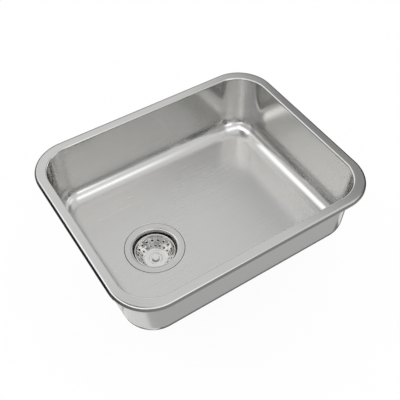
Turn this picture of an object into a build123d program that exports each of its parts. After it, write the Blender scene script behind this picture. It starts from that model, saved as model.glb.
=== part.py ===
from build123d import *
import math
import os

# Undermount kitchen sink: a pressed stainless bowl with a basket strainer fitted in its floor.
# Millimetres. +Z is up, +X runs along the sink's long side and +Y away from its user.
# The origin is the middle of the rim's flat top, the face that meets the countertop.

# ---------------------------------------------------------------- driving dimensions

# Rim: a flat band whose outer edge is rolled down into a short lip
sheet = 1.2
rim_length = 516.0
rim_width = 414.0
rim_corner_radius = 75.0
edge_roll_radius = 4.0
lip_height = 8.0
rim_band = 20.0
opening_corner_radius = 62.0
opening_edge_radius = 3.0

# Bowl
bowl_depth = 135.0
wall_draft = 2.0
cove_radius = 34.0

# Drain seat, pressed into the floor towards the left end
drain_x = -109.5
drain_y = -13.5
seat_slope_width = 2.2

# Pad under the floor
pad_thickness = 3.0
pad_margin = 12.0
pad_corner_radius = 20.0
pad_drain_gap = 12.0

# Strainer body
flange_width = 14.55
flange_thickness = 1.2
flange_fall = 0.6
flange_below_floor = 0.4
flange_edge_rounding = 0.4
mouth_edge_radius = 4.5
cup_radius = 42.6
cup_wall = 1.4
cup_taper = 0.6
step_depth = 20.0
step_width = 1.6
step_height = 2.0
step_rounding = 1.0
cup_depth = 43.2
cup_cove_radius = 5.0
cup_floor_fall = 3.8
outlet_edge_rounding = 1.2
neck_wall = 4.3
neck_end_rounding = 0.5
crossbar_ledge = 1.2
ledge_length = 7.5

# Seals and the locknut under the floor
seal_thickness = 0.8
seal_inset = 1.0
rubber_washer_thickness = 3.0
rubber_washer_width = 10.0
friction_washer_thickness = 1.0
friction_washer_width = 8.5
locknut_height = 10.0
locknut_wall = 7.0
locknut_lugs = 6
lug_reach = 5.5
lug_width = 12.0
lug_rounding = 2.4

# Outlet crossbar
crossbar_height = 3.0
crossbar_ring_width = 2.0
crossbar_arms = 4
arm_width = 3.0
hub_wall = 3.0
hub_height = 4.5
hub_rounding = 0.6

# Tailpiece and its coupling nut
tailpiece_radius = 19.05
tailpiece_wall = 1.0
tailpiece_length = 101.6
tailpiece_flange_thickness = 1.5
tailpiece_mouth_rounding = 0.5
tailpiece_root_rounding = 0.2
tailpiece_flare = 0.15
tailpiece_flare_drop = 1.0
tailpiece_washer_thickness = 2.0
coupling_web = 3.0
coupling_grip = 12.0
coupling_wall = 2.4
coupling_sides = 8
coupling_corner_trim = 0.4
coupling_edge_rounding = 1.5

# Basket cup
basket_sheet = 0.8
basket_depth = 27.0
basket_rim_width = 2.2
basket_rim_drop = 2.4
basket_curl_rounding = 1.0
basket_rim_rounding = 0.9
basket_shoulder_drop = 7.0
basket_shoulder_draft = 1.1
basket_shoulder_rounding = 1.5
basket_cone_width = 14.0
basket_disc_rounding = 1.6
basket_boss_radius = 12.6
basket_boss_rise = 0.8
basket_boss_rounding = 0.9
hole_radius = 2.0
hole_rows_from_disc = (3.9, 10.3)
holes_per_row = 18

# Post, knob, bush and stopper of the basket
post_radius = 4.0
post_nose_radius = 1.6
post_nose_length = 3.0
post_nose_rounding = 0.6
post_shoulder_rounding = 1.0
post_engagement = 7.5
bush_wall = 1.2
bush_flange_width = 1.8
bush_flange_thickness = 0.8
bush_rounding = 0.3
knob_radius = 8.2
knob_height = 4.2
knob_crown_radius = 6.6
knob_crown_rounding = 1.2
knob_brim_drop = 1.7
knob_brim_rounding = 1.0
knob_neck_wall = 1.6
knob_neck_rounding = 0.4
knob_socket_depth = 2.6
stopper_cover = 8.0
stopper_height = 6.2
stopper_edge = 1.8
stopper_edge_rounding = 0.6
stopper_crown_rounding = 1.0
stopper_plug_length = 1.5
stopper_plug_rounding = 0.7
plate_inset = 3.5
plate_thickness = 1.0
stopper_washer_width = 7.0
stopper_washer_thickness = 1.0
stopper_nut_wall = 2.5
stopper_nut_sides = 6
stopper_nut_height = 3.5

# Clearances
seat_clearance = 1.1
drain_hole_clearance = 1.0
basket_clearance = 2.7
plug_clearance = 2.0
outlet_clearance = 0.45
flange_clearance = 0.5
nut_to_hub_gap = 1.0
seating_gap = 0.3
tube_gap = 0.4
face_gap = 0.2
thread_gap = 0.15
turning_gap = 0.05
drop_in_gap = 0.05

# How far a cutting shape runs past the face that it cuts
cut_margin = 2.0

# ---------------------------------------------------------------- sizes that follow

opening_length = rim_length - 2 * rim_band
opening_width = rim_width - 2 * rim_band
draft_inset = bowl_depth * math.tan(math.radians(wall_draft))
flat_floor_length = opening_length - 2 * (draft_inset + cove_radius)
flat_floor_width = opening_width - 2 * (draft_inset + cove_radius)

# Radii of the strainer and of what fits in it and on it
flange_radius = cup_radius + flange_width
thread_radius = cup_radius + cup_wall
drain_hole_radius = thread_radius + drain_hole_clearance
seat_radius = flange_radius + seat_clearance
step_radius = cup_radius - cup_taper
lower_cup_radius = step_radius - step_width
outlet_radius = tailpiece_radius + outlet_clearance
neck_thread_radius = outlet_radius + neck_wall
tailpiece_flange_radius = neck_thread_radius - flange_clearance
hub_radius = post_radius + turning_gap + hub_wall
bush_radius = post_radius + turning_gap + bush_wall
stopper_radius = outlet_radius + stopper_cover
stopper_plug_radius = outlet_radius - plug_clearance
plate_radius = stopper_radius - plate_inset
basket_rim_radius = step_radius - basket_clearance + cup_taper / 2
basket_shoulder_radius = basket_rim_radius - basket_rim_width - basket_shoulder_draft
basket_disc_radius = basket_shoulder_radius - basket_cone_width

# Heights under the floor's top face, which is the datum of everything in the drain
flange_underside = -(flange_below_floor + flange_thickness)
seat_top = flange_underside - seal_thickness
seat_underside = seat_top - sheet
rubber_washer_bottom = seat_underside - rubber_washer_thickness
friction_washer_bottom = rubber_washer_bottom - friction_washer_thickness
locknut_bottom = friction_washer_bottom - locknut_height
outlet_top = -(cup_depth + cup_floor_fall)

# The stopper stands on the sloping floor of the cup, and the basket is stacked on it
cup_floor_slope = cup_floor_fall / (lower_cup_radius - outlet_radius)
stopper_edge_bottom = seating_gap - cup_depth - (lower_cup_radius - stopper_radius) * cup_floor_slope
plug_root = seating_gap - cup_depth - (lower_cup_radius - stopper_plug_radius) * cup_floor_slope
stopper_top = stopper_edge_bottom + stopper_height
plate_top = stopper_top + plate_thickness
bush_bottom = plate_top + face_gap
boss_underside = bush_bottom + bush_flange_thickness
boss_top = boss_underside + basket_sheet
bush_top = boss_top + bush_flange_thickness
knob_bottom = bush_top + face_gap
knob_top = knob_bottom + knob_height
socket_top = knob_bottom + knob_socket_depth
basket_disc_top = boss_top - basket_boss_rise
basket_rim_top = basket_disc_top + basket_depth
basket_shoulder = basket_rim_top - basket_shoulder_drop

# Under the stopper come its washer and nut, and then the crossbar, neck and tailpiece
plug_bottom = plug_root - stopper_plug_length
stopper_nut_top = plug_bottom - stopper_washer_thickness
stopper_nut_bottom = stopper_nut_top - stopper_nut_height
hub_top = stopper_nut_bottom - nut_to_hub_gap
post_bottom = hub_top - post_engagement
ledge_top = hub_top - hub_height
crossbar_top = ledge_top + crossbar_height
neck_end = ledge_top - ledge_length
tailpiece_top = neck_end - tailpiece_washer_thickness
tailpiece_flange_bottom = tailpiece_top - tailpiece_flange_thickness
tailpiece_bottom = tailpiece_top - tailpiece_length
coupling_bottom = tailpiece_flange_bottom - coupling_web
tailpiece_flare_bottom = coupling_bottom - tailpiece_flare_drop

at_drain = Pos(drain_x, drain_y, -bowl_depth)

# ---------------------------------------------------------------- helpers


def rounded_block(length, width, corner_radius, top, height, taper=0.0):
    """Block with rounded upright corners, hanging down from the height called top."""
    face = Pos(0, 0, top) * RectangleRounded(length, width, corner_radius)
    return extrude(face, amount=height, dir=(0, 0, -1), taper=taper)


def turned(*corners):
    """Solid of revolution about Z. Each corner is (radius, height) or (radius, height, rounding)."""
    points = [(corner[0], corner[1]) for corner in corners]
    roundings = [corner[2] if len(corner) > 2 else 0 for corner in corners]
    outline = FilletPolyline(*points, radius=roundings, close=True)
    return revolve(Plane.XZ * make_face(outline), Axis.Z)


def ring(inner_radius, outer_radius, bottom, top):
    """Flat ring between two heights."""
    return Pos(0, 0, bottom) * extrude(Circle(outer_radius) - Circle(inner_radius), top - bottom)


def round_bar(radius, bottom, top):
    """Round bar between two heights."""
    return Pos(0, 0, bottom) * extrude(Circle(radius), top - bottom)


def radial_bar(start, end, width, bottom, top):
    """Square bar along +X from one radius to another."""
    middle = Pos((start + end) / 2, 0, (bottom + top) / 2)
    return middle * Box(end - start, width, top - bottom)


def many_sided_bar(flat_radius, sides, bottom, top):
    """Bar with flat sides, each at the same distance from the axis."""
    outline = RegularPolygon(flat_radius, sides, major_radius=False)
    return Pos(0, 0, bottom) * extrude(outline, amount=top - bottom)


def hole_edges(part, height):
    """Edges of the holes in the widest level face at a height."""
    level = part.faces().filter_by(Axis.Z).filter_by(lambda face: abs(face.center().Z - height) < sheet / 2)
    widest = level.sort_by(lambda face: face.bounding_box().size.X)[-1]
    return [edge for wire in widest.inner_wires() for edge in wire.edges()]


# ---------------------------------------------------------------- sink


def rim_shell():
    """Rim band with its edge rolled down, before the bowl is cut through it."""
    rim = rounded_block(rim_length, rim_width, rim_corner_radius, 0, lip_height)
    rim = fillet(rim.edges().group_by(Axis.Z)[-1], edge_roll_radius)
    hollow_length = rim_length - 2 * sheet
    hollow_width = rim_width - 2 * sheet
    hollow = rounded_block(hollow_length, hollow_width, rim_corner_radius - sheet, -sheet, lip_height)
    return rim - fillet(hollow.edges().group_by(Axis.Z)[-1], edge_roll_radius - sheet)


def sink_bowl():
    """The whole pressing: rim band, rolled edge, walls, cove, floor and drain seat."""
    # The walls start halfway through the rim's thickness, and the seat halfway through the floor's
    outside = rounded_block(
        opening_length + 2 * sheet,
        opening_width + 2 * sheet,
        opening_corner_radius + sheet,
        -sheet / 2,
        bowl_depth + sheet / 2,
        wall_draft,
    )
    outside = fillet(outside.edges().group_by(Axis.Z)[0], cove_radius + sheet)
    inside = rounded_block(
        opening_length, opening_width, opening_corner_radius, 0, bowl_depth, wall_draft
    )
    inside = fillet(inside.edges().group_by(Axis.Z)[0], cove_radius)

    slope_top = seat_radius + seat_slope_width
    seat_outside = turned(
        (0, seat_underside),
        (seat_radius + sheet / 2, seat_underside),
        (slope_top + sheet / 2, -sheet),
        (slope_top + sheet / 2, -sheet / 2),
        (0, -sheet / 2),
    )
    seat_inside = turned(
        (0, seat_top),
        (seat_radius, seat_top),
        (slope_top, 0),
        (slope_top, cut_margin),
        (0, cut_margin),
    )
    drain_hole = round_bar(drain_hole_radius, seat_underside - cut_margin, cut_margin)

    bowl = rim_shell() + outside - inside
    bowl = bowl + at_drain * seat_outside - at_drain * seat_inside - at_drain * drain_hole
    bowl = fillet(hole_edges(bowl, 0), opening_edge_radius)
    return fillet(hole_edges(bowl, -sheet), opening_edge_radius - sheet)


def floor_sound_pad():
    """Rubber pad stuck to the flat of the floor's underside, cut out round the drain."""
    pad_length = flat_floor_length - 2 * pad_margin
    pad_width = flat_floor_width - 2 * pad_margin
    floor_underside = -(bowl_depth + sheet)
    pad = rounded_block(pad_length, pad_width, pad_corner_radius, floor_underside, pad_thickness)
    cut_radius = seat_radius + seat_slope_width + pad_drain_gap
    return pad - at_drain * round_bar(cut_radius, -(sheet + pad_thickness + cut_margin), cut_margin)


# ---------------------------------------------------------------- strainer, fixed pieces


def strainer_body():
    """Flange, stepped cup, sloping cup floor and threaded outlet neck, in one turned form."""
    step_foot = step_depth + step_height
    return turned(
        (flange_radius, flange_underside),
        (flange_radius, -flange_below_floor, flange_edge_rounding),
        (cup_radius, -(flange_below_floor + flange_fall), mouth_edge_radius),
        (step_radius, -step_depth, step_rounding),
        (lower_cup_radius, -step_foot, step_rounding),
        (lower_cup_radius, -cup_depth, cup_cove_radius),
        (outlet_radius, outlet_top, outlet_edge_rounding),
        (outlet_radius, ledge_top),
        (outlet_radius - crossbar_ledge, ledge_top),
        (outlet_radius - crossbar_ledge, neck_end),
        (neck_thread_radius, neck_end, neck_end_rounding),
        (neck_thread_radius, outlet_top - cup_wall, outlet_edge_rounding),
        (lower_cup_radius + cup_wall, -(cup_depth + cup_wall), cup_cove_radius + cup_wall),
        (lower_cup_radius + cup_wall, -(step_foot + cup_wall), step_rounding),
        (thread_radius, -(step_depth + cup_wall), step_rounding),
        (thread_radius, flange_underside),
    )


def flange_seal():
    """Ring between the flange and the drain seat."""
    return ring(drain_hole_radius, flange_radius - seal_inset, seat_top, flange_underside)


def rubber_washer():
    """Sealing washer against the underside of the drain seat."""
    inner = thread_radius + thread_gap
    return ring(inner, inner + rubber_washer_width, rubber_washer_bottom, seat_underside)


def friction_washer():
    """Thin ring that keeps the locknut from dragging the rubber round."""
    inner = thread_radius + thread_gap
    return ring(inner, inner + friction_washer_width, friction_washer_bottom, rubber_washer_bottom)


def locknut():
    """Wide nut with lugs round it, for a strainer wrench or a hammer and drift."""
    inner = thread_radius + thread_gap
    outer = inner + locknut_wall
    lug_root = inner + locknut_wall / 2
    nut = ring(inner, outer, locknut_bottom, friction_washer_bottom)
    lug = radial_bar(lug_root, outer + lug_reach, lug_width, locknut_bottom, friction_washer_bottom)
    lug = fillet(lug.edges().filter_by(Axis.Z).group_by(Axis.X)[-1], lug_rounding)
    for copy in PolarLocations(0, locknut_lugs):
        nut += copy * lug
    return nut


def outlet_crossbar():
    """Spider that drops into the neck: a ring, four arms and the hub that guides the post."""
    rim_radius = outlet_radius - drop_in_gap
    arm_end = rim_radius - crossbar_ring_width / 2
    spider = ring(rim_radius - crossbar_ring_width, rim_radius, ledge_top, crossbar_top)
    arm = radial_bar(post_radius, arm_end, arm_width, ledge_top, crossbar_top)
    for copy in PolarLocations(0, crossbar_arms):
        spider += copy * arm
    hub = turned(
        (0, ledge_top), (hub_radius, ledge_top), (hub_radius, hub_top, hub_rounding), (0, hub_top)
    )
    bore = round_bar(post_radius + turning_gap, ledge_top - cut_margin, hub_top + cut_margin)
    return spider + hub - bore


def tailpiece_washer():
    """Flat washer between the end of the neck and the tailpiece's flange."""
    return ring(outlet_radius, tailpiece_flange_radius, tailpiece_top, neck_end)


def tailpiece():
    """Outlet tube that the trap slips onto, flared a little where its flange is formed."""
    bore = tailpiece_radius - tailpiece_wall
    return turned(
        (bore, tailpiece_top, tailpiece_mouth_rounding),
        (bore, tailpiece_bottom),
        (tailpiece_radius, tailpiece_bottom),
        (tailpiece_radius, tailpiece_flare_bottom),
        (tailpiece_radius + tailpiece_flare, tailpiece_flange_bottom, tailpiece_root_rounding),
        (tailpiece_flange_radius, tailpiece_flange_bottom),
        (tailpiece_flange_radius, tailpiece_top),
    )


def coupling_nut():
    """Flat-sided nut that pulls the tailpiece's flange up against the neck."""
    thread = neck_thread_radius + thread_gap
    flat_radius = thread + coupling_wall
    corner_radius = flat_radius / math.cos(math.pi / coupling_sides) - coupling_corner_trim
    top = neck_end + coupling_grip
    blank = many_sided_bar(flat_radius, coupling_sides, coupling_bottom, top)
    eased_corners = turned(
        (0, coupling_bottom),
        (corner_radius, coupling_bottom, coupling_edge_rounding),
        (corner_radius, top, coupling_edge_rounding),
        (0, top),
    )
    bore = turned(
        (0, coupling_bottom - cut_margin),
        (tailpiece_radius + tube_gap, coupling_bottom - cut_margin),
        (tailpiece_radius + tube_gap, tailpiece_flange_bottom),
        (thread, tailpiece_flange_bottom),
        (thread, top + cut_margin),
        (0, top + cut_margin),
    )
    return (blank & eased_corners) - bore


# ---------------------------------------------------------------- basket, moving pieces


def basket_cup():
    """Pressed basket: curled rim, upright shoulder, drilled cone and flat disc with a raised boss."""
    upper_side = FilletPolyline(
        (basket_rim_radius, basket_rim_top - basket_rim_drop),
        (basket_rim_radius, basket_rim_top),
        (basket_rim_radius - basket_rim_width, basket_rim_top),
        (basket_shoulder_radius, basket_shoulder),
        (basket_disc_radius, basket_disc_top),
        (basket_boss_radius + basket_boss_rise, basket_disc_top),
        (basket_boss_radius, boss_top),
        (bush_radius, boss_top),
        radius=(
            basket_curl_rounding,
            basket_rim_rounding,
            basket_shoulder_rounding,
            basket_disc_rounding,
            basket_boss_rounding,
            basket_boss_rounding,
        ),
    )
    section = make_face(offset(upper_side, amount=basket_sheet, side=Side.LEFT))
    cup = revolve(Plane.XZ * section, Axis.Z)

    steepness = (basket_shoulder - basket_disc_top) / basket_cone_width
    lean = math.degrees(math.atan(steepness))
    drill = Cylinder(hole_radius, basket_sheet + 2 * cut_margin)
    pitch = 360 / holes_per_row
    for row, from_disc in enumerate(hole_rows_from_disc):
        height = basket_disc_top + from_disc * steepness
        for number in range(holes_per_row):
            turn = Rot(0, 0, (number + row / 2) * pitch)
            cup -= turn * Pos(basket_disc_radius + from_disc, 0, height) * Rot(0, -lean, 0) * drill
    return cup


def basket_bush():
    """Bush swaged into the middle of the cup, so that the cup turns on its post."""
    bore = post_radius + turning_gap
    flange = bush_radius + bush_flange_width
    return turned(
        (bore, bush_bottom),
        (flange, bush_bottom, bush_rounding),
        (flange, boss_underside),
        (bush_radius, boss_underside),
        (bush_radius, boss_top),
        (flange, boss_top),
        (flange, bush_top, bush_rounding),
        (bore, bush_top),
    )


def basket_knob():
    """Low mushroom button on top of the post."""
    return turned(
        (0, knob_top),
        (knob_crown_radius, knob_top, knob_crown_rounding),
        (knob_radius, knob_top - knob_brim_drop, knob_brim_rounding),
        (post_radius + knob_neck_wall, knob_bottom, knob_neck_rounding),
        (post_radius, knob_bottom),
        (post_radius, socket_top),
        (0, socket_top),
    )


def basket_post():
    """Round post from the knob down into the crossbar's hub, with a rounded nose."""
    return turned(
        (0, post_bottom),
        (post_nose_radius, post_bottom, post_nose_rounding),
        (post_radius, post_bottom + post_nose_length, post_shoulder_rounding),
        (post_radius, socket_top),
        (0, socket_top),
    )


def stopper_plate():
    """Metal disc that backs the rubber stopper."""
    return ring(post_radius, plate_radius, stopper_top, plate_top)


def basket_stopper():
    """Rubber stopper: a skirt that closes on the cup floor and a plug in the outlet."""
    return turned(
        (post_radius, plug_bottom),
        (stopper_plug_radius, plug_bottom, stopper_plug_rounding),
        (stopper_plug_radius, plug_root),
        (stopper_radius, stopper_edge_bottom, stopper_edge_rounding),
        (stopper_radius, stopper_edge_bottom + stopper_edge, stopper_edge_rounding),
        (plate_radius, stopper_top, stopper_crown_rounding),
        (post_radius, stopper_top),
    )


def stopper_washer():
    """Washer under the stopper."""
    return ring(post_radius, post_radius + stopper_washer_width, stopper_nut_top, plug_bottom)


def stopper_nut():
    """Six-sided nut that holds the stopper on the post, with its lower corners chamfered."""
    flat_radius = post_radius + stopper_nut_wall
    blank = many_sided_bar(flat_radius, stopper_nut_sides, stopper_nut_bottom, stopper_nut_top)
    chamfer_cone = turned(
        (0, stopper_nut_bottom),
        (flat_radius, stopper_nut_bottom),
        (flat_radius + stopper_nut_height, stopper_nut_top),
        (0, stopper_nut_top),
    )
    bore = round_bar(post_radius, stopper_nut_bottom - cut_margin, stopper_nut_top + cut_margin)
    return (blank & chamfer_cone) - bore


# ---------------------------------------------------------------- write the pieces

in_place = {"sink_bowl": sink_bowl(), "floor_sound_pad": floor_sound_pad()}
drain_pieces = (
    strainer_body,
    flange_seal,
    rubber_washer,
    friction_washer,
    locknut,
    outlet_crossbar,
    tailpiece_washer,
    tailpiece,
    coupling_nut,
    basket_cup,
    basket_bush,
    basket_knob,
    basket_post,
    stopper_plate,
    basket_stopper,
    stopper_washer,
    stopper_nut,
)
for piece in drain_pieces:
    in_place[piece.__name__] = at_drain * piece()

os.makedirs("parts", exist_ok=True)
for name, solid in in_place.items():
    export_step(solid, f"parts/{name}.step")
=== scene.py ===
import math

import bmesh
import bpy
from mathutils import Matrix, Vector


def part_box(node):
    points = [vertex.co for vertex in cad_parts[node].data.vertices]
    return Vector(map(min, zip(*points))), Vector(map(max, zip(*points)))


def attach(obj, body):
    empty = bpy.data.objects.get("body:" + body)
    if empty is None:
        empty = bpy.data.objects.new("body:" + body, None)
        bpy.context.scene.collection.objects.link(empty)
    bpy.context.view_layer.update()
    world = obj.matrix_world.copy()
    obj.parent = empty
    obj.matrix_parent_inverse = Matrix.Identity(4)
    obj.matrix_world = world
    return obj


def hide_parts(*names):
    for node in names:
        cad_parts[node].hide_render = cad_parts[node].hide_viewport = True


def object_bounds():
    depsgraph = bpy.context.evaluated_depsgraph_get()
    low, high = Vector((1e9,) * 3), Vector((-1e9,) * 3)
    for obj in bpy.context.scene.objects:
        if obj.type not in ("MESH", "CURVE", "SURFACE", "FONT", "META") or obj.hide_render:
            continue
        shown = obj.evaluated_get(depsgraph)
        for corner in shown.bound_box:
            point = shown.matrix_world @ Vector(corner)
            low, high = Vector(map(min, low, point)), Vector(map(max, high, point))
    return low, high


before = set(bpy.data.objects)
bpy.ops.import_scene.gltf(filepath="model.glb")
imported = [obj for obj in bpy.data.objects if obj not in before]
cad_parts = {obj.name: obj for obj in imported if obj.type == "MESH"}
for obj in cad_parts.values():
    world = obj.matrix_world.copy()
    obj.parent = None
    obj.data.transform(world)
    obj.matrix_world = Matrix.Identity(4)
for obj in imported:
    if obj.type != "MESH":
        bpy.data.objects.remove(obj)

# Looks of the undermount kitchen sink. Metres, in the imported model's own frame: the origin is the
# middle of the rim's flat top, +X runs along the sink's long side and +Y away from its user.

cad_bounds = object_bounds()
MM = 0.001

# ---------- sizes taken from the frame

sink_low, sink_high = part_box("sink_bowl")
body_low, body_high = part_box("strainer_body")
basket_low, basket_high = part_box("basket_cup")

rim_half_length = sink_high.x
rim_half_width = sink_high.y
drain_x = (body_low.x + body_high.x) / 2
drain_y = (body_low.y + body_high.y) / 2
drain_centre = (drain_x, drain_y)
flange_radius = (body_high.x - body_low.x) / 2

# ---------- sizes of the pressed sheet

sheet = 1.2 * MM
rim_corner = 75 * MM
rim_roll = 5.5 * MM
lip_height = 8 * MM
lip_edge_rounding = 0.45 * MM
rim_band = 20 * MM
opening_corner = 62 * MM
opening_edge = 3 * MM
wall_draft = math.radians(2)
cove = 34 * MM
seat_clearance = 0.1 * MM
seat_slope = 0.9 * MM
seat_drop = 2.4 * MM
seat_inner_bend = 0.9 * MM
seat_outer_bend = 1.3 * MM
seat_under_bend = 1.5 * MM
seat_margin = 3 * MM
drain_hole = 45 * MM
flange_below_floor = 0.4 * MM

floor_top = body_high.z + flange_below_floor
opening_half_length = rim_half_length - rim_band
opening_half_width = rim_half_width - rim_band
seat_radius = flange_radius + seat_clearance
slope_radius = seat_radius + seat_slope

# How finely the sheet is divided: round each corner, along each side, over each bend and between
# them. The support is the narrow strip that keeps a bend's shading off the flat beside it.
corner_steps = 28
long_side_steps = 56
short_side_steps = 44
cove_steps = 30
roll_steps = 10
edge_steps = 9
wall_steps = 8
floor_steps = 9
rim_steps = 3
lip_steps = 4
bend_steps = 6
support = 1.2 * MM

# Degrees between two faces from which their shared edge looks sharp
usual_sharp_angle = 35
soft_sharp_angle = 40
thread_sharp_angle = 20
pad_sharp_angle = 50
seam_merge = 0.001 * MM

# ---------- mesh helpers


def rounded_line(corners, steps=bend_steps):
    """Open outline through corners (radius, height[, rounding]), with each rounding as an arc."""
    line = []
    last = len(corners) - 1
    for number, corner in enumerate(corners):
        here = Vector(corner[:2])
        rounding = corner[2] if len(corner) > 2 else 0
        if number in (0, last) or not rounding:
            line.append(here)
            continue
        back = (Vector(corners[number - 1][:2]) - here).normalized()
        ahead = (Vector(corners[number + 1][:2]) - here).normalized()
        half = back.angle(ahead) / 2
        reach = rounding / math.tan(half)
        centre = here + (back + ahead).normalized() * (rounding / math.sin(half))
        start = here + back * reach - centre
        end = here + ahead * reach - centre
        turn = start.angle_signed(end)
        for step in range(steps + 1):
            angle = -turn * step / steps
            swung = Vector((
                start.x * math.cos(angle) - start.y * math.sin(angle),
                start.x * math.sin(angle) + start.y * math.cos(angle),
            ))
            line.append(centre + swung)
    return line


def circle(radius, height, angles, centre):
    """Loop of points round a circle, at the given angles."""
    return [
        Vector((centre[0] + radius * math.cos(a), centre[1] + radius * math.sin(a), height))
        for a in angles
    ]


def rounded_rectangle(half_length, half_width, corner, height):
    """Loop round a rounded rectangle, anticlockwise from above, with one count for any size."""
    quarters = (
        (1, 1, long_side_steps),
        (-1, 1, short_side_steps),
        (-1, -1, long_side_steps),
        (1, -1, short_side_steps),
    )
    centres = [
        Vector((sx * (half_length - corner), sy * (half_width - corner), height))
        for sx, sy, _ in quarters
    ]

    def on_arc(quarter, angle):
        return centres[quarter] + Vector((math.cos(angle), math.sin(angle), 0)) * corner

    loop = []
    for quarter, (_, _, steps) in enumerate(quarters):
        begin = quarter * math.pi / 2
        finish = begin + math.pi / 2
        loop += [
            on_arc(quarter, begin + (finish - begin) * step / corner_steps)
            for step in range(corner_steps)
        ]
        side_start = on_arc(quarter, finish)
        side_end = on_arc((quarter + 1) % 4, finish)
        loop += [side_start.lerp(side_end, step / steps) for step in range(steps)]
    return loop


def lengths_round(loop):
    """Distance along a loop at each of its points, and once more where it closes."""
    along = [0.0]
    for number, point in enumerate(loop):
        along.append(along[-1] + (loop[(number + 1) % len(loop)] - point).length)
    return along


def placed(name, data):
    """Object with its data, put into the scene."""
    thing = bpy.data.objects.new(name, data)
    bpy.context.scene.collection.objects.link(thing)
    return thing


def mesh_from(name, points, faces, face_uvs=None, sharp_angle=usual_sharp_angle):
    """Mesh object with smooth shading, sharp where faces meet at more than an angle."""
    mesh = bpy.data.meshes.new(name)
    mesh.from_pydata(points, [], faces)
    if face_uvs:
        layer = mesh.uv_layers.new(name="finish")
        for corner, uv in zip(layer.data, (uv for corners in face_uvs for uv in corners)):
            corner.uv = uv
    smooth(mesh, sharp_angle)
    return placed(name, mesh)


def modified_mesh(piece):
    """A piece's mesh with its modifiers carried out."""
    evaluated = piece.evaluated_get(bpy.context.evaluated_depsgraph_get())
    return bpy.data.meshes.new_from_object(evaluated)


def smooth(mesh, sharp_angle=usual_sharp_angle):
    """Smooth shading, kept sharp where faces meet at more than an angle in degrees."""
    mesh.polygons.foreach_set("use_smooth", [True] * len(mesh.polygons))
    mesh.set_sharp_from_angle(angle=math.radians(sharp_angle))
    mesh.update()


def skin(loops, along, flat=None, close=True):
    """Points, faces and finish coordinates of quads between neighbouring loops.

    The finish runs along the loops: its first coordinate is the distance round and its second the
    distance across. Between loops that flat names, the finish runs straight along X instead.
    """
    count = len(loops[0])
    points = [point for loop in loops for point in loop]
    across = [0.0]
    for one, two in zip(loops, loops[1:] + loops[:1]):
        across.append(across[-1] + (one[0] - two[0]).length)
    faces, uvs = [], []
    for row in range(len(loops) if close else len(loops) - 1):
        after = (row + 1) % len(loops)
        for number in range(count):
            ahead = (number + 1) % count
            face = (
                row * count + number,
                after * count + number,
                after * count + ahead,
                row * count + ahead,
            )
            faces.append(face)
            if flat and row in flat:
                uvs.append([points[corner].xy for corner in face])
            else:
                here, there = along[number], along[number + 1]
                uvs.append([
                    (here, across[row]),
                    (here, across[row + 1]),
                    (there, across[row + 1]),
                    (there, across[row]),
                ])
    return points, faces, uvs


def turned_piece(name, outline, segments, centre, start=0.0, close=True):
    """Piece turned about an upright axis, with its finish running round it."""
    angles = [start + 2 * math.pi * number / segments for number in range(segments)]
    loops = [circle(max(point.x, 0.0), point.y, angles, centre) for point in outline]
    widest = max(point.x for point in outline)
    along = [2 * math.pi * widest * number / segments for number in range(segments + 1)]
    points, faces, uvs = skin(loops, along, close=close)
    piece = mesh_from(name, points, faces, uvs)
    tidy_mesh(piece)
    return piece


def tidy_mesh(piece, sharp_angle=usual_sharp_angle, merge=seam_merge):
    """Closes seams and poles and turns the faces outwards."""
    work = bmesh.new()
    work.from_mesh(piece.data)
    bmesh.ops.remove_doubles(work, verts=work.verts, dist=merge)
    bmesh.ops.recalc_face_normals(work, faces=work.faces)
    work.to_mesh(piece.data)
    work.free()
    smooth(piece.data, sharp_angle)


# ---------- node helpers

# The range that a noise mostly keeps
noise_low, noise_high = 0.3, 0.7


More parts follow.
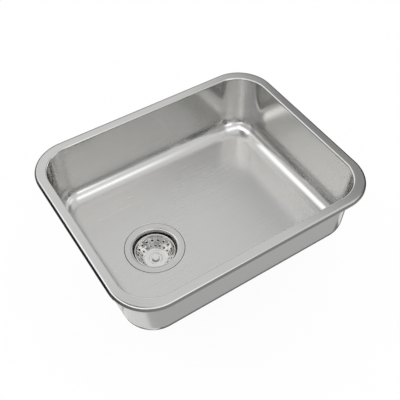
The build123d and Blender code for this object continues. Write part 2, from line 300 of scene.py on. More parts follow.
class Nodes:
    """Builds one node tree by short calls."""

    def __init__(self, tree):
        self.tree = tree

    def feed(self, node, values):
        """Sets a node's inputs to values, or links them to sockets."""
        for socket, value in values.items():
            target = node.inputs[socket]
            if isinstance(value, bpy.types.NodeSocket):
                self.tree.links.new(value, target)
            else:
                target.default_value = value

    def add(self, kind, values=None, **settings):
        """A node of a kind, with its settings and its inputs."""
        node = self.tree.nodes.new(kind)
        for name, value in settings.items():
            setattr(node, name, value)
        self.feed(node, values or {})
        return node

    def maths(self, operation, *values):
        """Result of a maths node."""
        return self.add("ShaderNodeMath", dict(enumerate(values)), operation=operation).outputs[0]

    def spread(self, value, low, high, new_low=0.0, new_high=1.0):
        """A value moved from one range to another, held inside it."""
        ends = {"From Min": low, "From Max": high, "To Min": new_low, "To Max": new_high}
        return self.add("ShaderNodeMapRange", {"Value": value, **ends}).outputs[0]

    def swing(self, noise, new_low=0.0, new_high=1.0):
        """A noise moved from the range it mostly keeps to another."""
        return self.spread(noise, noise_low, noise_high, new_low, new_high)

    def blend(self, one, two, share):
        """A share of one noise and the rest of another."""
        shares = [self.maths("MULTIPLY", one, share), self.maths("MULTIPLY", two, 1 - share)]
        return self.maths("ADD", *shares)

    def noise(self, vector, scale, detail=2.0, roughness=0.5):
        """Noise value at a place."""
        values = {"Vector": vector, "Scale": scale, "Detail": detail, "Roughness": roughness}
        return self.add("ShaderNodeTexNoise", values).outputs[0]

    def scaled(self, vector, scale, location=(0, 0, 0)):
        """A place with its pattern squeezed or stretched."""
        values = {"Vector": vector, "Location": location, "Scale": scale}
        return self.add("ShaderNodeMapping", values).outputs[0]

    def bump(self, height, distance, strength=1.0, normal=None):
        """Normal of a surface with a relief."""
        values = {"Height": height, "Distance": distance, "Strength": strength}
        if normal is not None:
            values["Normal"] = normal
        return self.add("ShaderNodeBump", values).outputs[0]

    def tint(self, factor, one, two):
        """Colour between two, each given as a colour or a socket."""
        values = {"Factor": factor}
        for socket, colour in (("A", one), ("B", two)):
            linked = isinstance(colour, bpy.types.NodeSocket)
            values[socket] = colour if linked else (*colour, 1)
        return self.add("ShaderNodeMix", values, data_type="RGBA").outputs["Result"]

    def place(self):
        """Place on the piece in metres."""
        return self.add("ShaderNodeTexCoord").outputs["Object"]

    def finish(self):
        """Finish coordinates of the piece: along its grain and across it."""
        return self.add("ShaderNodeUVMap", uv_map="finish").outputs[0]

    def axes(self, place):
        """The three numbers of a place."""
        return self.add("ShaderNodeSeparateXYZ", {0: place}).outputs

    def mixed(self, share, one, two):
        """Shader between two."""
        return self.add("ShaderNodeMixShader", {0: share, 1: one.outputs[0], 2: two.outputs[0]})

    def surface(self, shader):
        """Ends a material with its shader."""
        self.add("ShaderNodeOutputMaterial", {"Surface": shader.outputs[0]})


def emptied(thing):
    """Node builder for a material or a world, whose own nodes are cleared."""
    thing.use_nodes = True
    thing.node_tree.nodes.clear()
    return Nodes(thing.node_tree)


def shaded_material(name):
    """Material with its shader, and the node builder for it."""
    material = bpy.data.materials.new(name)
    build = emptied(material)
    shader = build.add("ShaderNodeBsdfPrincipled")
    build.surface(shader)
    return material, build, shader


# ---------- finishes

# Brushed steel: how closely its grain and its streaks repeat along and across, how much of each
# is mixed, and their relief
grain_repeats = (28, 5200, 1)
streak_repeats = (5, 620, 1)
streak_shift = (3.1, 7.7, 0)
grain_share = 0.6
grain_relief = 0.004 * MM
grain_strength = 0.35
patch_scale = 9.0
wave_scale = 14.0
quarter_turn = 0.25

haze_height = 5 * MM
# Painted shade deep in the strainer's cup: how far it fades in, and the grey it darkens to
painted_shade_fade = 2.5 * MM
painted_shade_grey = (0.42, 0.418, 0.41)

# Plain metals and moulded pieces: how closely their clouds repeat, and the strength of their relief
metal_low, metal_high = 0.32, 0.68
metal_cloud_scale = 40.0
metal_strength = 0.5
moulded_cloud_scale = 55.0
moulded_spread = 0.06
moulded_strength = 0.6


def brushed_steel(
    name, dark, pale, roughness, spread, anisotropy, waviness, floor_haze=0.0, painted_shade_top=None
):
    """Stainless steel with a brushed grain that follows the finish coordinates of the piece.

    The level floor is rougher than the rest by floor_haze. Below a given height the colour darkens
    to a grey: painted shade deep in the cup.
    """
    material, build, shader = shaded_material(name)
    place = build.place()
    height = build.axes(place)[2]
    grain = build.noise(build.scaled(build.finish(), grain_repeats), 1.0, 3.0, 0.62)
    streaks = build.noise(build.scaled(build.finish(), streak_repeats, streak_shift), 1.0)
    brushed = build.blend(grain, streaks, grain_share)
    colour = build.tint(build.swing(brushed), dark, pale)
    # Painted shade: the colour darkens to a grey below a height
    if painted_shade_top is not None:
        depth_shade = build.spread(height, painted_shade_top, painted_shade_top - painted_shade_fade)
        colour = build.tint(depth_shade, colour, painted_shade_grey)
    rough = build.maths(
        "ADD",
        build.swing(brushed, roughness - spread, roughness + spread),
        build.swing(build.noise(place, patch_scale), -spread / 2, spread / 2),
    )
    if floor_haze:
        haze = build.spread(height, floor_top + haze_height, floor_top, 0, floor_haze)
        rough = build.maths("ADD", rough, haze)
    wave = build.bump(build.noise(place, wave_scale, 1.0, 0.4), waviness)
    tangent = build.add("ShaderNodeTangent", direction_type="UV_MAP", uv_map="finish")
    build.feed(shader, {
        "Base Color": colour,
        "Roughness": rough,
        "Normal": build.bump(brushed, grain_relief, grain_strength, wave),
        "Metallic": 1.0,
        "Anisotropic": anisotropy,
        "Anisotropic Rotation": quarter_turn,
        "Tangent": tangent.outputs[0],
    })
    return material


def plain_metal(name, dark, pale, roughness, spread, grain_scale, relief):
    """Metal with a fine even grain: polished, plated or cast, by its values."""
    material, build, shader = shaded_material(name)
    place = build.place()
    grain = build.noise(place, grain_scale, 4.0, 0.6)
    mixed = build.blend(grain, build.noise(place, metal_cloud_scale), 0.5)
    build.feed(shader, {
        "Base Color": build.tint(build.spread(mixed, metal_low, metal_high), dark, pale),
        "Roughness": build.swing(mixed, roughness - spread, roughness + spread),
        "Normal": build.bump(grain, relief, metal_strength),
        "Metallic": 1.0,
    })
    return material


def moulded(name, dark, pale, roughness, grain_scale, relief):
    """Rubber, nylon or pressed fibre: a mottled colour over a fine relief."""
    material, build, shader = shaded_material(name)
    place = build.place()
    grain = build.noise(place, grain_scale, 3.0, 0.6)
    cloud = build.noise(place, moulded_cloud_scale, 3.0, 0.55)
    build.feed(shader, {
        "Base Color": build.tint(build.swing(cloud), dark, pale),
        "Roughness": build.swing(grain, roughness - moulded_spread, roughness + moulded_spread),
        "Normal": build.bump(grain, relief, moulded_strength),
    })
    return material


bowl_steel = brushed_steel(
    "bowl_brushed_steel",
    (0.52, 0.518, 0.508),
    (0.59, 0.588, 0.578),
    roughness=0.15,
    spread=0.03,
    anisotropy=0.7,
    waviness=0.1 * MM,
    floor_haze=0.1,
)
turned_steel = brushed_steel(
    "strainer_turned_steel",
    (0.50, 0.498, 0.488),
    (0.57, 0.568, 0.558),
    roughness=0.2,
    spread=0.04,
    anisotropy=0.5,
    waviness=0.01 * MM,
    # Painted shade in the cup: darker from 2 mm under the floor's top downwards
    painted_shade_top=floor_top - 2 * MM,
)
bright_dark, bright_pale = (0.62, 0.617, 0.605), (0.72, 0.717, 0.705)
basket_steel = brushed_steel(
    "basket_bright_steel",
    bright_dark,
    bright_pale,
    roughness=0.14,
    spread=0.03,
    anisotropy=0.3,
    waviness=0.01 * MM,
)

# Each with its roughness, how far that spreads, how closely its grain repeats, and its relief
polished_steel = plain_metal(
    "polished_steel", bright_dark, bright_pale, 0.17, 0.05, 900.0, 0.004 * MM
)
cast_zinc = plain_metal(
    "cast_zinc", (0.42, 0.42, 0.42), (0.56, 0.56, 0.55), 0.46, 0.08, 700.0, 0.12 * MM
)
chrome_plate = plain_metal(
    "chrome_plate", (0.70, 0.705, 0.71), (0.78, 0.785, 0.79), 0.08, 0.03, 500.0, 0.005 * MM
)

# Each with its roughness, how closely its grain repeats, and its relief
pad_rubber = moulded(
    "pad_rubber", (0.022, 0.022, 0.024), (0.045, 0.045, 0.048), 0.72, 420.0, 0.3 * MM
)
seal_rubber = moulded(
    "seal_rubber", (0.012, 0.012, 0.012), (0.03, 0.03, 0.03), 0.6, 900.0, 0.06 * MM
)
red_fibre = moulded("red_fibre", (0.20, 0.035, 0.02), (0.34, 0.07, 0.04), 0.75, 1200.0, 0.12 * MM)
white_nylon = moulded(
    "white_nylon", (0.70, 0.70, 0.66), (0.82, 0.82, 0.79), 0.42, 600.0, 0.03 * MM
)

# ---------- pressed bowl


def bowl_sections():
    """Loops of the sheet in order: out over the top from the drain, and back underneath.

    Returns the loops and the numbers of those that begin a strip of the level floor.
    """
    slant = math.sin(wall_draft)
    cove_height = floor_top + cove
    cove_inset = (-cove_height + cove * slant) * math.tan(wall_draft) + cove * math.cos(wall_draft)
    edge_inset = opening_edge * ((1 - slant) * math.tan(wall_draft) - math.cos(wall_draft))

    def inset_loop(inset, height):
        """Loop at a distance inside the opening."""
        sizes = (opening_half_length, opening_half_width, opening_corner)
        return rounded_rectangle(*(size - inset for size in sizes), height)

    def bend(inset, height, radius, low, high, steps):
        """Loops round a bend of the wall's section, from one angle to another."""
        angles = [low + (high - low) * step / steps for step in range(steps + 1)]
        return [
            inset_loop(inset + radius * math.cos(angle), height + radius * math.sin(angle))
            for angle in angles
        ]

    def between(one, two, steps):
        """Loops between two, without them."""
        return [
            [a.lerp(b, step / steps) for a, b in zip(one, two)] for step in range(1, steps)
        ]

    def near_ends(one, two, share):
        """A loop beside each of two, a share of the way to the other."""
        pairs = list(zip(one, two))
        return [a.lerp(b, share) for a, b in pairs], [b.lerp(a, share) for a, b in pairs]

    def rim_loop(beyond, height):
        """Loop at a distance beyond the rim's flat."""
        sizes = (rim_half_length, rim_half_width, rim_corner)
        return rounded_rectangle(*(size - rim_roll + beyond for size in sizes), height)

    def roll_loops(radius):
        """Over the rim's rolled edge, from its flat out to its side."""
        return [
            rim_loop(radius * math.sin(angle), radius * math.cos(angle) - rim_roll)
            for angle in (math.pi / 2 * step / roll_steps for step in range(roll_steps + 1))
        ]

    def side(drop):
        """One skin above the floor, at a depth in the sheet: cove, wall, edge, rim and roll."""
        upright, level = wall_draft, math.pi / 2
        cove_part = bend(cove_inset, cove_height, -cove - drop, level, upright, cove_steps)
        edge_part = bend(edge_inset, -opening_edge, opening_edge - drop, upright, level, edge_steps)
        roll_part = roll_loops(rim_roll - drop)
        wall_low, wall_high = near_ends(cove_part[-1], edge_part[0], support / cove)
        rim_inner, rim_outer = near_ends(edge_part[-1], roll_part[0], support / rim_band)
        return [
            *cove_part,
            wall_low,
            *between(wall_low, wall_high, wall_steps),
            wall_high,
            *edge_part,
            rim_inner,
            *between(rim_inner, rim_outer, rim_steps),
            rim_outer,
            *roll_part,
        ]

    top_side, under_side = side(0.0), side(sheet)
    lip_section = [
        (rim_roll, -rim_roll),
        (rim_roll, -lip_height, lip_edge_rounding),
        (rim_roll - sheet, -lip_height, lip_edge_rounding),
        (rim_roll - sheet, -rim_roll),
    ]
    lip = [rim_loop(point.x, point.y) for point in rounded_line(lip_section, lip_steps)[1:-1]]

    angles = [math.atan2(point.y - drain_y, point.x - drain_x) for point in top_side[0]]

    def drain_loop(point):
        """Loop round the drain through a point of the seat's section."""
        return circle(point.x, floor_top + point.y, angles, drain_centre)

    inner_floor = slope_radius + seat_margin
    seat_top = rounded_line([
        (drain_hole, -seat_drop),
        (seat_radius, -seat_drop, seat_inner_bend),
        (slope_radius, 0, seat_outer_bend),
        (inner_floor, 0),
    ])
    seat_under = rounded_line([
        (drain_hole, -seat_drop - sheet),
        (seat_radius + sheet / 2, -seat_drop - sheet, seat_under_bend),
        (slope_radius + sheet / 2, -sheet, seat_inner_bend),
        (inner_floor, -sheet),
    ])
    top_drain = [drain_loop(point) for point in seat_top]
    under_drain = [drain_loop(point) for point in seat_under]

    def floor_loops(drain_side, wall_side):
        """Over the level floor, from the drain to just before the cove."""
        last = [b + (a - b).normalized() * support for a, b in zip(drain_side, wall_side)]
        return [*between(drain_side, last, floor_steps), last]

    top_floor = floor_loops(top_drain[-1], top_side[0])
    bottom_floor = floor_loops(under_drain[-1], under_side[0])
    loops = [
        *top_drain,
        *top_floor,
        *top_side,
        *lip,
        *reversed(under_side),
        *reversed(bottom_floor),
        *reversed(under_drain),
    ]
    first_top = len(top_drain) - 1
    first_under = sum(map(len, (top_drain, top_floor, top_side, lip, under_side))) - 1
    level = set(range(first_top, first_top + len(top_floor) + 1))
    level |= set(range(first_under, first_under + len(bottom_floor) + 1))
    return loops, level


def pressed_bowl():
    """The whole sheet, with its grain along the rim and walls and straight over the floor."""
    loops, level = bowl_sections()
    outline = rounded_rectangle(opening_half_length, opening_half_width, opening_corner, 0)
    points, faces, uvs = skin(loops, lengths_round(outline), flat=level)
    piece = mesh_from("pressed_bowl", points, faces, uvs, soft_sharp_angle)
    piece.data.materials.append(bowl_steel)
    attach(piece, "sink")
    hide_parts("sink_bowl")


pressed_bowl()

# ---------- strainer body

cup_radius = 42.6 * MM
cup_wall = 1.4 * MM
cup_taper = 0.6 * MM
step_depth = 20 * MM
step_width = 1.6 * MM
step_height = 2 * MM
cup_depth = 43.2 * MM
cup_floor_fall = 3.8 * MM
cup_cove = 5 * MM
mouth_edge = 4.5 * MM
flange_thickness = 1.2 * MM
flange_fall = 0.6 * MM
small_rounding = 0.4 * MM
step_rounding = 1 * MM
outlet_rounding = 1.2 * MM
outlet_radius = 19.5 * MM
neck_wall = 4.3 * MM
crossbar_ledge = 1.2 * MM
cup_thread_pitch = 1.8 * MM
neck_thread_pitch = 2.2 * MM
thread_ridge = 0.7 * MM
turning_segments = 216
turned_bend_steps = 8
thread_steps = 72
thread_sides = 4
thread_radius = cup_radius + cup_wall
neck_radius = outlet_radius + neck_wall
lower_cup_radius = cup_radius - cup_taper - step_width


def from_floor(height):
    """Height of a point given from the floor's top face."""
    return floor_top + height


def strainer_cup():
    """Flange, stepped cup and outlet neck, cut back to the root where the threads run."""
    flange_underside = -(flange_below_floor + flange_thickness)
    outlet_top = -(cup_depth + cup_floor_fall)
    ledge_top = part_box("outlet_crossbar")[0].z - floor_top
    neck_end = body_low.z - floor_top
    step_foot = step_depth + step_height
    cup_root = thread_radius - thread_ridge
    neck_root = neck_radius - thread_ridge
    corners = [
        (cup_root, flange_underside),
        (flange_radius, flange_underside, small_rounding / 2),
        (flange_radius, -flange_below_floor, small_rounding),
        (cup_radius, -(flange_below_floor + flange_fall), mouth_edge),
        (cup_radius - cup_taper, -step_depth, step_rounding),
        (lower_cup_radius, -step_foot, step_rounding),
        (lower_cup_radius, -cup_depth, cup_cove),
        (outlet_radius, outlet_top, outlet_rounding),
        (outlet_radius, ledge_top),
        (outlet_radius - crossbar_ledge, ledge_top),
        (outlet_radius - crossbar_ledge, neck_end, small_rounding),
        (neck_root, neck_end, small_rounding),
        (neck_root, outlet_top - cup_wall, outlet_rounding),
        (lower_cup_radius + cup_wall, -(cup_depth + cup_wall), cup_cove + cup_wall),
        (lower_cup_radius + cup_wall, -(step_foot + cup_wall), step_rounding),
        (cup_root, -(step_depth + cup_wall), step_rounding),
        (cup_root, flange_underside),
    ]
    lifted = [(r, from_floor(z), *rest) for r, z, *rest in corners]
    outline = rounded_line(lifted, turned_bend_steps)[:-1]
    piece = turned_piece("strainer_cup", outline, turning_segments, drain_centre)
    piece.data.materials.append(turned_steel)
    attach(piece, "sink")
    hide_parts("strainer_body")


# ---------- patterns by geometry nodes


def pattern_tree(name, inputs):
    """Empty geometry tree with its named inputs, and the node builder for it."""
    tree = bpy.data.node_groups.new(name, "GeometryNodeTree")
    tree.interface.new_socket("Geometry", in_out="INPUT", socket_type="NodeSocketGeometry")
    for label, kind in inputs:
        tree.interface.new_socket(label, in_out="INPUT", socket_type=kind)
    tree.interface.new_socket("Geometry", in_out="OUTPUT", socket_type="NodeSocketGeometry")
    build = Nodes(tree)
    return tree, build, build.add("NodeGroupInput").outputs


def finish_pattern(build, geometry, material):
    """Ends a tree: instances made real, and the material set."""
    real = build.add("GeometryNodeRealizeInstances", {0: geometry}).outputs[0]
    painted = build.add("GeometryNodeSetMaterial", {"Geometry": real, "Material": material})
    build.add("NodeGroupOutput", {0: painted.outputs[0]})


def grown(name, base_mesh, tree, values):
    """Plain mesh object that a tree grows from a base mesh, with the tree's inputs set by label."""
    seed = placed(name + "_seed", base_mesh)
    modifier = seed.modifiers.new("pattern", "NODES")
    modifier.node_group = tree
    for item in tree.interface.items_tree:
        if item.in_out == "INPUT" and item.name in values:
            modifier[item.identifier] = values[item.name]
    mesh = modified_mesh(seed)
    bpy.data.objects.remove(seed)
    mesh.name = name
    return placed(name, mesh)


def thread_tree(material):
    """Ridge of a screw thread: a diamond section swept along a helix."""
    inputs = [(label, "NodeSocketFloat") for label in ("Radius", "Pitch", "Turns", "Ridge")]
    inputs.append(("Foot", "NodeSocketVector"))
    tree, build, given = pattern_tree("screw_thread", inputs)
    height = build.maths("MULTIPLY", given["Pitch"], given["Turns"])
    helix = build.add("GeometryNodeCurveSpiral", {
        "Resolution": thread_steps,
        "Rotations": given["Turns"],
        "Start Radius": given["Radius"],
        "End Radius": given["Radius"],
        "Height": height,
    })
    upright = build.add("GeometryNodeSetCurveNormal", {0: helix.outputs[0]}, mode="Z_UP")
    section = build.add(
        "GeometryNodeCurvePrimitiveCircle", {"Resolution": thread_sides, "Radius": given["Ridge"]}
    )
    swept = build.add(
        "GeometryNodeCurveToMesh",
        {"Curve": upright.outputs[0], "Profile Curve": section.outputs[0], "Fill Caps": True},
    )
    moved = build.add(
        "GeometryNodeTransform", {"Geometry": swept.outputs[0], "Translation": given["Foot"]}
    )
    finish_pattern(build, moved.outputs[0], material)
    return tree


def screw_thread(name, tree, crest, pitch, low, high):
    """One thread on the strainer, between two heights."""
    piece = grown(name, bpy.data.meshes.new(name + "_empty"), tree, {
        "Radius": crest - thread_ridge,
        "Pitch": pitch,
        "Turns": (high - low) / pitch,
        "Ridge": thread_ridge,
        "Foot": (drain_x, drain_y, low),
    })
    tidy_mesh(piece, thread_sharp_angle)
    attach(piece, "sink")


def strainer_threads():
    """The cup's thread for the locknut and the neck's thread for the coupling nut."""
    tree = thread_tree(polished_steel)
    cup_low = from_floor(-step_depth - cup_wall + step_rounding + thread_ridge)
    cup_high = from_floor(-flange_below_floor - flange_thickness) - seat_drop
    screw_thread("cup_thread", tree, thread_radius, cup_thread_pitch, cup_low, cup_high)
    neck_low = body_low.z + neck_thread_pitch
    neck_high = from_floor(-cup_depth - cup_floor_fall - cup_wall - outlet_rounding - thread_ridge)
    screw_thread("neck_thread", tree, neck_radius, neck_thread_pitch, neck_low, neck_high)


strainer_cup()
strainer_threads()

# ---------- perforated basket

basket_sheet = 0.8 * MM
basket_depth = 27 * MM
basket_rim_width = 2.2 * MM
basket_rim_drop = 2.4 * MM
curl_rounding = 1 * MM
basket_rim_rounding = 0.9 * MM
shoulder_drop = 7 * MM
shoulder_draft = 1.1 * MM
shoulder_rounding = 1.5 * MM
cone_width = 14 * MM
disc_rounding = 1.6 * MM
boss_radius = 12.6 * MM
boss_rise = 0.8 * MM
boss_rounding = 0.9 * MM
basket_bore = 5.25 * MM
hole_radius = 2 * MM
hole_lip = 0.15 * MM
hole_lip_bend = 0.3 * hole_lip
hole_rows_from_disc = (3.9 * MM, 10.3 * MM)
holes_per_row = 18
hole_side_steps = 6
hole_weld = 0.004 * MM
basket_weld = 0.02 * MM
least_bend_share = 0.5

basket_rim_radius = (basket_high.x - basket_low.x) / 2
basket_rim_top = basket_high.z
disc_top = basket_rim_top - basket_depth
shoulder_top = basket_rim_top - shoulder_drop
shoulder_radius = basket_rim_radius - basket_rim_width - shoulder_draft
disc_radius = shoulder_radius - cone_width
cone_run = Vector((cone_width, shoulder_top - disc_top))
cone_way = cone_run.normalized()
cone_out = Vector((-cone_way.y, cone_way.x))
shoulder_way = Vector((shoulder_draft, shoulder_drop)).normalized()
disc_bend = math.atan2(cone_way.y, cone_way.x)
shoulder_bend = cone_way.angle(shoulder_way)
cone_start = disc_rounding * math.tan(disc_bend / 2)
cone_end = cone_run.length - shoulder_rounding * math.tan(shoulder_bend / 2)


def beside(line, amount):
    """Outline that keeps a distance to the left of another."""

    def left_of(way):
        return Vector((-way.y, way.x))

    moved = []
    for number, point in enumerate(line):
        before = line[max(number - 1, 0)]
        after = line[min(number + 1, len(line) - 1)]
        one = (point - before).normalized() if number else (after - point).normalized()
        two = (after - point).normalized() if number < len(line) - 1 else one
        left = (left_of(one) + left_of(two)).normalized()
        moved.append(point + left * (amount / max(left.dot(left_of(one)), least_bend_share)))
    return moved


def basket_outlines():
    """Sections of the cup's outer part and of its disc, each open towards the cone."""
    outer = rounded_line([
        (basket_rim_radius, basket_rim_top - basket_rim_drop),
        (basket_rim_radius, basket_rim_top, curl_rounding),
        (basket_rim_radius - basket_rim_width, basket_rim_top, basket_rim_rounding),
        (shoulder_radius, shoulder_top, shoulder_rounding),
        (disc_radius, disc_top),
    ])[:-1]
    inner = rounded_line([
        (shoulder_radius, shoulder_top),
        (disc_radius, disc_top, disc_rounding),
        (boss_radius + boss_rise, disc_top, boss_rounding),
        (boss_radius, disc_top + boss_rise, boss_rounding),
        (basket_bore, disc_top + boss_rise),
    ])[1:]
    return (
        outer[::-1] + beside(outer, basket_sheet),
        inner + beside(inner, basket_sheet)[::-1],
    )


def cone_point(angle, along, out):
    """Point of the cone: angle round the axis, distance up from the disc, height off the slope."""
    place = Vector((disc_radius, disc_top)) + cone_way * along + cone_out * out
    return Vector((place.x * math.cos(angle), place.x * math.sin(angle), place.y))


def drilled_patch(low_angle, high_angle, low, high, hole_along):
    """Two skins with one hole through them, drawn in to the corners of a patch of the cone."""
    middle = (low_angle + high_angle) / 2
    corners = [(low_angle, low), (high_angle, low), (high_angle, high), (low_angle, high)]
    border = []
    for number, here in enumerate(corners):
        there = corners[(number + 1) % 4]
        for step in range(hole_side_steps):
            share = step / hole_side_steps
            border.append(tuple(a + (b - a) * share for a, b in zip(here, there)))
    count = len(border)

    def ring(radius, out):
        """Loop round the hole, begun towards the patch's first corner."""
        loop = []
        for number in range(count):
            turn = 2 * math.pi * number / count - math.pi * 3 / 4
            along = hole_along + radius * math.sin(turn)
            across = radius * math.cos(turn) / (disc_radius + along * cone_way.x)
            loop.append(cone_point(middle + across, along, out))
        return loop

    edge = [cone_point(angle, along, 0) for angle, along in border]
    edge_under = [cone_point(angle, along, -basket_sheet) for angle, along in border]
    lip = [(hole_lip, 0), (hole_lip_bend, hole_lip_bend), (0, hole_lip)]
    upper = [ring(hole_radius + wider, -deep) for wider, deep in lip]
    lower = [ring(hole_radius + wider, deep - basket_sheet) for wider, deep in reversed(lip)]
    loops = [edge, *upper, *lower, edge_under]
    along = [hole_radius * number for number in range(count + 1)]
    return skin(loops, along, close=False)


def plain_patch(low_angle, high_angle, low, high):
    """Two skins of the cone without a hole."""
    points, faces, uvs = [], [], []
    side = hole_side_steps + 1
    for out in (0, -basket_sheet):
        first = len(points)
        for row in range(side):
            for column in range(side):
                angle = low_angle + (high_angle - low_angle) * column / hole_side_steps
                along = low + (high - low) * row / hole_side_steps
                points.append(cone_point(angle, along, out))
        for row in range(hole_side_steps):
            for column in range(hole_side_steps):
                corner = first + row * side + column
                faces.append((corner, corner + 1, corner + side + 1, corner + side))
                uvs.append([(0, 0), (hole_radius, 0), (hole_radius, hole_radius), (0, hole_radius)])
    return points, faces, uvs


def drilled_sector():
    """One pitch of the drilled cone: a hole of each row, staggered by half a pitch."""
    half = math.pi / holes_per_row
    middle = (cone_start + cone_end) / 2
    lower, upper = (row / cone_way.x for row in hole_rows_from_disc)
    patches = [
        drilled_patch(-half / 2, half / 2, cone_start, middle, lower),
        plain_patch(-half / 2, half / 2, middle, cone_end),
        plain_patch(half / 2, half * 3 / 2, cone_start, middle),
        drilled_patch(half / 2, half * 3 / 2, middle, cone_end, upper),
    ]
    points, faces, uvs = [], [], []
    for more_points, more_faces, more_uvs in patches:
        faces += [tuple(corner + len(points) for corner in face) for face in more_faces]
        points += more_points
        uvs += more_uvs
    return mesh_from("drilled_sector", points, faces, uvs)


def repeat_tree(material):
    """Copies of a sector, turned evenly about the axis and welded."""
    tree, build, given = pattern_tree(
        "repeat_round", [("Copies", "NodeSocketInt"), ("Weld", "NodeSocketFloat")]
    )
    spots = build.add("GeometryNodePoints", {"Count": given["Copies"]})
    share = build.maths("DIVIDE", build.add("GeometryNodeInputIndex").outputs[0], given["Copies"])
    turn = build.add("ShaderNodeCombineXYZ", {2: build.maths("MULTIPLY", share, 2 * math.pi)})
    copies = build.add(
        "GeometryNodeInstanceOnPoints",
        {"Points": spots.outputs[0], "Instance": given["Geometry"], "Rotation": turn.outputs[0]},
    )
    real = build.add("GeometryNodeRealizeInstances", {0: copies.outputs[0]})
    welded = build.add(
        "GeometryNodeMergeByDistance", {"Geometry": real.outputs[0], "Distance": given["Weld"]}
    )
    finish_pattern(build, welded.outputs[0], material)
    return tree


def joined(pieces):
    """The first piece, with the others made part of it."""
    first = pieces[0]
    with bpy.context.temp_override(
        active_object=first,
        object=first,
        selected_editable_objects=pieces,
        selected_objects=pieces,
    ):
        bpy.ops.object.join()
    return first


def perforated_basket():
    """The whole basket: curled rim, shoulder, drilled cone, and disc with its raised boss."""
    sector = drilled_sector()
    cone = grown(
        "perforated_basket",
        sector.data.copy(),
        repeat_tree(basket_steel),
        {"Copies": holes_per_row, "Weld": hole_weld},
    )
    bpy.data.objects.remove(sector)
    segments = holes_per_row * hole_side_steps * 2
    start = -math.pi / holes_per_row / 2
    parts = [
        turned_piece(f"basket_turned_{number}", outline, segments, (0, 0), start, close=False)
        for number, outline in enumerate(basket_outlines())
    ]
    piece = joined([cone, *parts])
    piece.data.transform(Matrix.Translation((drain_x, drain_y, 0)))
    tidy_mesh(piece, soft_sharp_angle, basket_weld)
    piece.data.materials.clear()
    piece.data.materials.append(basket_steel)
    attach(piece, "basket")
    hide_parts("basket_cup")


perforated_basket()

# ---------- pieces that keep their own mesh

pad_edge_rounding = 0.7 * MM
pad_edge_steps = 3
pad_flat_angle = 1


def sound_pad():
    """The rubber pad under the floor, with its cut edges eased."""
    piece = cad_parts["floor_sound_pad"].copy()
    piece.data = piece.data.copy()
    piece.name = "eased_sound_pad"
    for key in list(piece.keys()):
        del piece[key]
    bpy.context.scene.collection.objects.link(piece)
    piece.parent = None
    work = bmesh.new()
    work.from_mesh(piece.data)
    bmesh.ops.remove_doubles(work, verts=work.verts, dist=seam_merge)
    bmesh.ops.dissolve_limit(
        work, angle_limit=math.radians(pad_flat_angle), verts=work.verts, edges=work.edges
    )
    work.to_mesh(piece.data)
    work.free()
    bevel = piece.modifiers.new("eased", "BEVEL")
    bevel.width = pad_edge_rounding
    bevel.segments = pad_edge_steps
    bevel.limit_method = "ANGLE"
    bevel.angle_limit = math.radians(pad_sharp_angle)
    piece.data = modified_mesh(piece)
    piece.modifiers.clear()
    smooth(piece.data, pad_sharp_angle)
    piece.data.materials.clear()
    piece.data.materials.append(pad_rubber)
    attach(piece, "sink")
    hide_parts("floor_sound_pad")


sound_pad()

node_finishes = {
    "flange_seal": seal_rubber,
    "rubber_washer": seal_rubber,
    "friction_washer": red_fibre,
    "locknut": cast_zinc,
    "outlet_crossbar": polished_steel,
    "tailpiece_washer": white_nylon,
    "tailpiece": polished_steel,
    "coupling_nut": chrome_plate,
    "basket_bush": white_nylon,
    "basket_knob": polished_steel,
    "basket_post": polished_steel,
    "stopper_plate": polished_steel,
    "basket_stopper": seal_rubber,
    "stopper_washer": polished_steel,
    "stopper_nut": polished_steel,
}
for node_name, finish in node_finishes.items():
    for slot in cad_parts[node_name].material_slots:
        slot.material = finish

# ---------- camera

# Where the photograph was taken from: the sides of the picture are 400 pixels long
picture_side = 400
focal_pixels = 639.12
sensor_width = 36.0
camera_turn = math.radians(-33.50)
camera_rise = math.radians(50.19)
camera_roll = math.radians(0.56)
camera_distance = 1.15782
camera_right = 0.00080
camera_up = -0.05097
camera_near = 0.05
camera_far = 60


def photograph_camera():
    """Camera at the photograph's viewing angle."""
    back = Vector((
        math.sin(camera_turn) * math.cos(camera_rise),
        -math.cos(camera_turn) * math.cos(camera_rise),
        math.sin(camera_rise),
    ))
    level_right = Vector((math.cos(camera_turn), math.sin(camera_turn), 0))
    level_up = back.cross(level_right)
    right = level_right * math.cos(camera_roll) + level_up * math.sin(camera_roll)
    up = level_up * math.cos(camera_roll) - level_right * math.sin(camera_roll)
    data = bpy.data.cameras.new("photograph_camera")
    data.sensor_width = sensor_width
    data.lens = focal_pixels / picture_side * sensor_width
    data.clip_start = camera_near
    data.clip_end = camera_far
    camera = placed("photograph_camera", data)
    place = Matrix((right, up, back)).transposed().to_4x4()
    place.translation = back * camera_distance + right * camera_right + up * camera_up
    camera.matrix_world = place
    bpy.context.scene.camera = camera


photograph_camera()

# ---------- studio

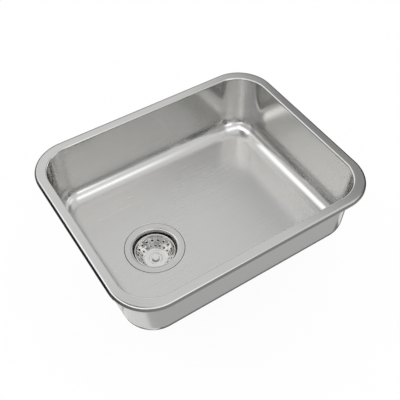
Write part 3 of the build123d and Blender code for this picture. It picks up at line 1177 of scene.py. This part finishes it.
# Panels round the part, the farthest first: turn from +Y towards +X, height above the horizon,
# half width and half height, all in degrees, and brightness. The world has brightness 1, so a
# panel below it is a grey or dark card. A nearer panel covers those behind it.
studio_panels = {
    "high_left_softbox": (-95, 55, 30, 12, 2.3),
    "overhead_card": (-50, 75, 20, 8, 0.3),
    "back_softbox": (-10, 20, 20, 15, 1.7),
    "back_right_strip": (30, 10, 10, 4, 2.0),
    "right_card": (70, 45, 25, 12, 0.35),
    "right_strip": (85, 15, 6, 12, 2.4),
    "right_low_softbox": (125, 0, 12, 15, 2.4),
    "front_low_softbox": (180, 15, 12, 15, 2.4),
    "left_low_softbox": (-85, 15, 20, 15, 2.4),
    "front_left_strip": (-135, 13, 35, 2.5, 2.4),
    "left_low_card": (-75, 0, 35, 12, 0.3),
    "front_high_softbox": (180, 60, 20, 10, 1.9),
    "right_window": (125, 35, 10, 6, 1.5),
    "right_high_card": (70, 60, 30, 10, 0.95),
    "left_back_softbox": (-40, 50, 18, 10, 1.9),
    "left_card": (-90, 30, 30, 15, 0.7),
}
panel_softness = 6
farthest_panel = 4.0
panel_spacing = 0.06

# Cards on the floor that show in the outside of the sink: X and Y of the front left corner, X and Y
# of the back right one, and brightness
floor_cards = {
    "left_floor_card": (-0.75, -0.02, -0.29, 0.75, 0.06),
    "right_floor_card": (0.29, -0.15, 0.90, 0.75, 0.06),
    "front_floor_card": (-0.36, -1.00, 0.90, -0.245, 0.62),
    "shade_under_front": (-0.20, -0.245, 0.36, -0.10, 0.18),
    "shade_under_corner": (-0.285, -0.165, -0.20, -0.05, 0.18),
}
floor_level = cad_bounds[0].z - 1 * MM
card_lift = 0.5 * MM
floor_half_side = 8.0
floor_white_share = 0.92
floor_matt_grey = 0.85

# Dark strip that stands just outside the lip, seen only in the metal: painted shade on the lip. It
# turns pale between each pair of places: along Y in front and behind, and along X at the right.
strip_gap = 8 * MM
strip_low = -22 * MM
strip_high = 10 * MM
strip_dark = 0.03
strip_pale = 0.35
strip_front = -0.215
strip_side = -0.12
strip_back = 0.21
strip_back_side = 0.12
strip_right_side = 0.20
strip_right = 0.25


def glow(name, level):
    """Material that is to shine evenly, its node builder and its shader."""
    material = bpy.data.materials.new(name)
    build = emptied(material)
    material.cycles.emission_sampling = "NONE"
    shine = build.add("ShaderNodeEmission", {"Color": (1, 1, 1, 1), "Strength": level})
    return material, build, shine


def staged(name, corners, uvs, material):
    """Flat four-cornered thing of the studio."""
    flat = mesh_from(name, corners, [(0, 1, 2, 3)], [uvs])
    flat.data.materials.append(material)
    return flat


def rectangle(left, front, right, back):
    """Corners of a rectangle, anticlockwise."""
    return [(left, front), (right, front), (right, back), (left, back)]


def studio_panel(name, distance, turn, rise, half_width, half_height, level):
    """Panel with soft edges that faces the part and that the camera doesn't see."""
    turn, rise = math.radians(turn), math.radians(rise)
    level_way = Vector((math.sin(turn), math.cos(turn), 0))
    ahead = level_way * math.cos(rise) + Vector((0, 0, math.sin(rise)))
    right = Vector((math.cos(turn), -math.sin(turn), 0))
    up = right.cross(ahead)
    material, build, shine = glow(name, level)
    across, along, _ = build.axes(build.finish())

    def inside(value, half):
        """1 well inside an edge, falling to 0 outside it."""
        inner = math.tan(math.radians(max(half - panel_softness, 0)))
        outer = math.tan(math.radians(half + panel_softness))
        node = build.add(
            "ShaderNodeMapRange",
            {"Value": build.maths("ABSOLUTE", value), "From Min": outer, "From Max": inner},
            interpolation_type="SMOOTHSTEP",
        )
        return node.outputs[0]

    share = build.maths("MULTIPLY", inside(across, half_width), inside(along, half_height))
    build.surface(build.mixed(share, build.add("ShaderNodeBsdfTransparent"), shine))
    wide = math.tan(math.radians(half_width + panel_softness))
    high = math.tan(math.radians(half_height + panel_softness))
    spots = rectangle(-wide, -high, wide, high)
    corners = [(ahead + right * x + up * y) * distance for x, y in spots]
    panel = staged(name, corners, spots, material)
    panel.visible_camera = False


def only_mirrored(card):
    """Shows a thing of the studio in the part's metal alone."""
    card.visible_camera = False
    card.visible_diffuse = False
    card.visible_transmission = False
    card.visible_shadow = False


def floor_card(name, left, front, right, back, level):
    """Card that lies on the floor."""
    material, build, shine = glow(name, level)
    build.surface(shine)
    spots = rectangle(left, front, right, back)
    corners = [(x, y, floor_level + card_lift) for x, y in spots]
    only_mirrored(staged(name, corners, spots, material))


def lip_shade_strip():
    """Strip that stands round the lip and paints shade on it, seen in the metal alone."""
    material, build, shine = glow("lip_shade_strip", strip_dark)
    across, along, _ = build.axes(build.place())
    in_front = build.maths(
        "MINIMUM",
        build.spread(along, strip_front, strip_side, strip_pale, strip_dark),
        build.spread(across, strip_right_side, strip_right, strip_pale, strip_dark),
    )
    behind = build.spread(along, strip_back_side, strip_back, strip_dark, strip_pale)
    build.feed(shine, {"Strength": build.maths("MAXIMUM", in_front, behind)})
    build.surface(shine)
    low, high = (
        rounded_rectangle(
            rim_half_length + strip_gap, rim_half_width + strip_gap, rim_corner + strip_gap, height
        )
        for height in (strip_low, strip_high)
    )
    points, faces, uvs = skin([low, high], lengths_round(low), close=False)
    strip = mesh_from("lip_shade_strip", points, faces, uvs)
    strip.data.materials.append(material)
    only_mirrored(strip)


def studio_floor():
    """White floor just under the part, seen only from above."""
    material, build, white = glow("studio_white", 1.0)
    path = build.add("ShaderNodeLightPath").outputs
    seen = build.maths("MAXIMUM", path["Is Camera Ray"], path["Is Glossy Ray"])
    seen = build.maths("MAXIMUM", seen, path["Is Transmission Ray"])
    grey = (floor_matt_grey, floor_matt_grey, floor_matt_grey, 1)
    matt = build.add("ShaderNodeBsdfDiffuse", {"Color": grey})
    lit = build.mixed(build.maths("MULTIPLY", seen, floor_white_share), matt, white)
    below = build.add("ShaderNodeNewGeometry").outputs["Backfacing"]
    build.surface(build.mixed(below, lit, build.add("ShaderNodeBsdfTransparent")))
    spots = rectangle(-floor_half_side, -floor_half_side, floor_half_side, floor_half_side)
    staged("studio_floor", [(x, y, floor_level) for x, y in spots], spots, material)


def studio_world():
    """Plain white studio all round."""
    world = bpy.data.worlds.new("studio")
    build = emptied(world)
    sky = build.add("ShaderNodeBackground", {"Color": (1, 1, 1, 1), "Strength": 1.0})
    build.add("ShaderNodeOutputWorld", {"Surface": sky.outputs[0]})
    bpy.context.scene.world = world


studio_floor()
for number, (panel_name, panel_values) in enumerate(studio_panels.items()):
    studio_panel(panel_name, farthest_panel - panel_spacing * number, *panel_values)
for card_name, card_values in floor_cards.items():
    floor_card(card_name, *card_values)
lip_shade_strip()
studio_world()
bpy.context.scene.view_settings.view_transform = "Standard"
